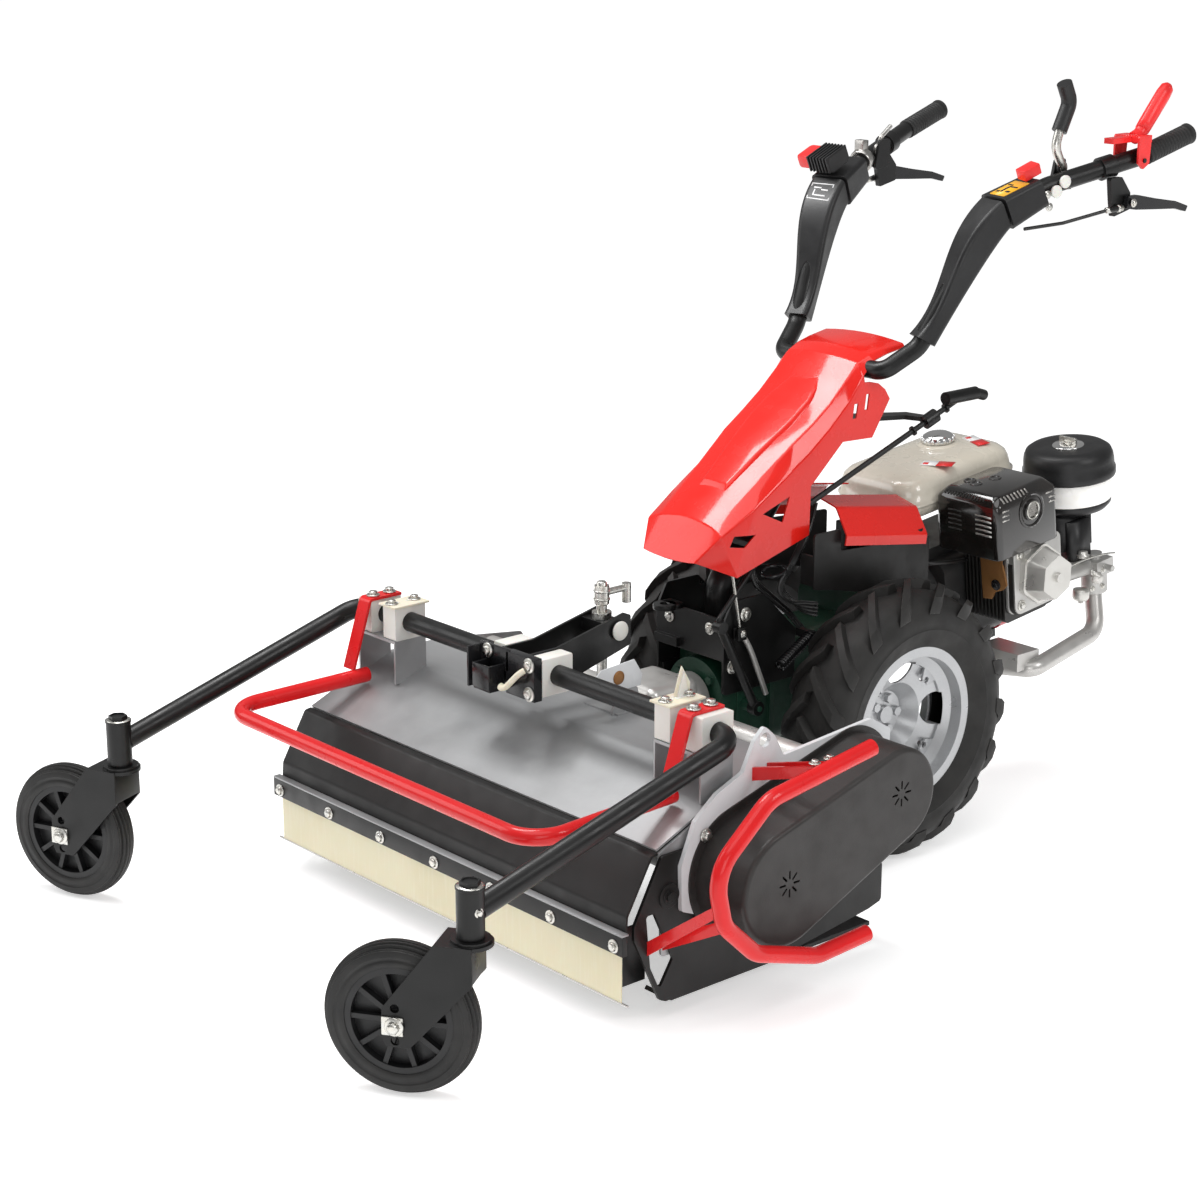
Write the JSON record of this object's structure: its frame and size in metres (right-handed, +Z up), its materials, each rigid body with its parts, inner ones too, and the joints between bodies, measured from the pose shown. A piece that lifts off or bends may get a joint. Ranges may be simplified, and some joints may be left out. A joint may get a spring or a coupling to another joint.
{
  "type": "walk-behind flail brush mower",
  "caption": "Two-wheel walking tractor with swinging handlebar pushing a flail mower deck on swivelling front casters.",
  "frame": {"origin": "bottom centre of the whole machine's box, on the ground", "axes": "+Z up, -Y the way the machine drives, +X its left side, where the belt guard is"},
  "size_m": [1.3276, 1.9699, 1.3626],
  "materials": {
    "gearbox_green": "dark green machinery enamel over castings",
    "frame_black": "satin black powder coat",
    "mudguard_black": "moulded matt black",
    "panel_red": "gloss red enamel",
    "rod_steel": "plain drawn steel",
    "engine_alloy": "die-cast, partly black",
    "bright_alloy": "bright die-cast",
    "shroud_red": "red enamel",
    "tank_cream": "cream gloss lacquer",
    "cap_chrome": "plated",
    "guard_black": "gloss black stove enamel",
    "muffler_steel": "heat-stained steel",
    "cleaner_plastic": "moulded black",
    "zinc_steel": "zinc plated",
    "grip_rubber": "ribbed black rubber",
    "bumper_alloy": "silver painted tube",
    "cable_black": "black cable sheath",
    "drive_tyre": "ribbed agricultural rubber",
    "rim_silver": "silver enamel",
    "hood_red": "gloss red",
    "control_black": "black moulded over steel",
    "cover_black": "satin black moulding",
    "lever_red": "red moulding",
    "deck_galvanised": "galvanised sheet",
    "deck_black": "satin black powder coat",
    "flap_rubber": "cream translucent rubber",
    "backplate_grey": "light grey enamel",
    "guard_plastic": "grained dark moulding",
    "bar_red": "gloss red enamel",
    "block_white": "machined white polyethylene",
    "casting_grey": "painted casting",
    "pulley_steel": "machined steel",
    "belt_rubber": "wrapped V-belts",
    "rotor_steel": "black painted tube",
    "knife_steel": "hardened steel",
    "tube_black": "satin black powder coat",
    "fork_black": "satin black powder coat",
    "caster_tyre": "ribbed solid rubber",
    "caster_rim": "moulded black nylon"
  },
  "bodies": {
    "chassis": {"gearbox_housing": "gearbox_green", "front_frame": "frame_black", "mudguards": "mudguard_black", "fender_caps": "panel_red", "engine_crankcase": "engine_alloy", "engine_cylinder": "engine_alloy", "valve_cover": "bright_alloy", "recoil_cover": "shroud_red", "fuel_tank": "tank_cream", "muffler_guard": "guard_black", "muffler": "muffler_steel", "air_cleaner_body": "cleaner_plastic", "air_cleaner_cap": "cleaner_plastic", "carburettor": "bright_alloy", "engine_bumper": "bumper_alloy", "control_cables": "cable_black"},
    "rocker": {"selector_rocker": "rod_steel"},
    "tank_cap": {"fuel_cap": "cap_chrome"},
    "cleaner_nut": {"wing_nut": "zinc_steel"},
    "starter": {"starter_grip": "grip_rubber"},
    "left_wheel": {"left_drive_tyre": "drive_tyre", "left_drive_rim": "rim_silver"},
    "right_wheel": {"right_drive_tyre": "drive_tyre", "right_drive_rim": "rim_silver"},
    "column": {"steering_column": "frame_black", "hood": "hood_red"},
    "gear_selector": {"gear_rod": "control_black"},
    "handlebar": {"handlebar_tube": "frame_black", "arm_covers": "cover_black", "grips": "grip_rubber", "arm_cables": "cable_black"},
    "clutch": {"clutch_lever": "lever_red"},
    "left_brake": {"left_brake_lever": "control_black"},
    "right_brake": {"right_brake_lever": "control_black"},
    "reverser": {"reverser_lever": "control_black"},
    "throttle": {"throttle_lever": "zinc_steel"},
    "stop": {"stop_switch": "lever_red"},
    "deck": {"deck_shell": "deck_galvanised", "side_plates": "deck_black", "front_panel": "deck_black", "front_flap": "flap_rubber", "guard_backplate": "backplate_grey", "belt_guard": "guard_plastic", "guard_bar": "bar_red", "bumper_bar": "bar_red", "pivot_blocks": "block_white", "deck_gearbox": "casting_grey", "drive_belt": "belt_rubber"},
    "cross_shaft": {"drive_pulley": "pulley_steel"},
    "rotor": {"flail_rotor": "rotor_steel", "flail_knives": "knife_steel"},
    "caster_beam": {"caster_frame": "tube_black", "jack_lever": "frame_black"},
    "jack_screw": {"jack_crank": "zinc_steel"},
    "left_fork": {"left_caster_fork": "fork_black"},
    "right_fork": {"right_caster_fork": "fork_black"},
    "left_caster": {"left_caster_tyre": "caster_tyre", "left_caster_rim": "caster_rim"},
    "right_caster": {"right_caster_tyre": "caster_tyre", "right_caster_rim": "caster_rim"}
  },
  "joints": [
    {"name": "left_wheel_spin", "type": "hinge", "parent": "chassis", "child": "left_wheel", "pos_m": [0.2433, 0.333, 0.255], "axis": [1, 0, 0], "continuous": true},
    {"name": "right_wheel_spin", "type": "hinge", "parent": "chassis", "child": "right_wheel", "pos_m": [-0.1867, 0.333, 0.255], "axis": [1, 0, 0], "continuous": true},
    {"name": "rocker_swing", "type": "hinge", "parent": "chassis", "child": "rocker", "pos_m": [0.1343, 0.088, 0.3], "axis": [1, 0, 0], "range_deg": [-4, 4]},
    {"name": "fuel_cap_turn", "type": "hinge", "parent": "chassis", "child": "tank_cap", "pos_m": [-0.0167, 0.71497, 0.66772], "axis": [0, -0.1219, 0.9925], "range_deg": [-90, 0]},
    {"name": "wing_nut_turn", "type": "hinge", "parent": "chassis", "child": "cleaner_nut", "pos_m": [0.1783, 0.86469, 0.67099], "axis": [0, -0.1219, 0.9925], "continuous": true},
    {"name": "starter_pull", "type": "slide", "parent": "chassis", "child": "starter", "axis": [0, 0.9925, 0.1219], "range_m": [0, 0.5], "stiffness_N_per_m": 20, "springref_m": -0.2},
    {"name": "column_swing", "type": "hinge", "parent": "chassis", "child": "column", "pos_m": [0.0283, 0.098, 0.404], "axis": [0, 0, 1], "range_deg": [-25, 25]},
    {"name": "gear_rod_slide", "type": "slide", "parent": "column", "child": "gear_selector", "axis": [0.1516, 0.894, 0.4217], "range_m": [-0.02, 0.02]},
    {"name": "handlebar_height", "type": "hinge", "parent": "column", "child": "handlebar", "pos_m": [0.0283, 0.369, 0.868], "axis": [1, 0, 0], "range_deg": [-10, 12]},
    {"name": "clutch_lever_pivot", "type": "hinge", "parent": "handlebar", "child": "clutch", "pos_m": [0.3093, 0.838, 1.218], "axis": [1, 0, 0], "range_deg": [-14, 0], "stiffness_Nm_per_rad": 3, "springref_deg": 8.59},
    {"name": "left_brake_pivot", "type": "hinge", "parent": "handlebar", "child": "left_brake", "pos_m": [0.3248, 0.818, 1.144], "axis": [1, 0, 0], "range_deg": [0, 22], "stiffness_Nm_per_rad": 3, "springref_deg": -8.59},
    {"name": "right_brake_pivot", "type": "hinge", "parent": "handlebar", "child": "right_brake", "pos_m": [-0.2682, 0.818, 1.144], "axis": [1, 0, 0], "range_deg": [0, 22], "stiffness_Nm_per_rad": 3, "springref_deg": -8.59},
    {"name": "reverser_pivot", "type": "hinge", "parent": "handlebar", "child": "reverser", "pos_m": [0.2403, 0.719, 1.206], "axis": [1, 0, 0], "range_deg": [-14, 14]},
    {"name": "throttle_pivot", "type": "hinge", "parent": "handlebar", "child": "throttle", "pos_m": [-0.1837, 0.716, 1.201], "axis": [1, 0, 0], "range_deg": [-30, 30]},
    {"name": "stop_switch_press", "type": "slide", "parent": "handlebar", "child": "stop", "axis": [0, 0.4067, -0.9135], "range_m": [0, 0.004], "stiffness_N_per_m": 600, "springref_m": -0.004},
    {"name": "deck_roll", "type": "hinge", "parent": "chassis", "child": "deck", "pos_m": [0.0283, 0.041, 0.305], "axis": [0, 1, 0], "range_deg": [-4, 4]},
    {"name": "cross_shaft_spin", "type": "hinge", "parent": "deck", "child": "cross_shaft", "pos_m": [0.0283, -0.058, 0.305], "axis": [1, 0, 0], "continuous": true},
    {"name": "rotor_spin", "type": "hinge", "parent": "deck", "child": "rotor", "pos_m": [0.0283, -0.307, 0.216], "axis": [1, 0, 0], "continuous": true},
    {"name": "caster_beam_tilt", "type": "hinge", "parent": "deck", "child": "caster_beam", "pos_m": [0.0283, -0.332, 0.44], "axis": [1, 0, 0], "range_deg": [-5, 5]},
    {"name": "jack_screw_turn", "type": "hinge", "parent": "caster_beam", "child": "jack_screw", "pos_m": [0.0283, -0.179, 0.5], "axis": [0, 0, 1], "continuous": true},
    {"name": "left_caster_swivel", "type": "hinge", "parent": "caster_beam", "child": "left_fork", "pos_m": [0.5103, -0.847, 0.256], "axis": [0, 0, 1], "continuous": true},
    {"name": "left_caster_spin", "type": "hinge", "parent": "left_fork", "child": "left_caster", "pos_m": [0.42242, -0.90627, 0.12], "axis": [0.5592, -0.829, 0], "continuous": true},
    {"name": "right_caster_swivel", "type": "hinge", "parent": "caster_beam", "child": "right_fork", "pos_m": [-0.4537, -0.847, 0.256], "axis": [0, 0, 1], "continuous": true},
    {"name": "right_caster_spin", "type": "hinge", "parent": "right_fork", "child": "right_caster", "pos_m": [-0.55127, -0.88842, 0.12], "axis": [0.3907, -0.9205, 0], "continuous": true}
  ],
  "couplings": [
    {"joint": "cross_shaft_spin", "follows": "rotor_spin", "ratio": 1.3333},
    {"joint": "rocker_swing", "follows": "gear_rod_slide", "rad_per_m": -3.44},
    {"joint": "jack_screw_turn", "follows": "caster_beam_tilt", "ratio": 228}
  ]
}
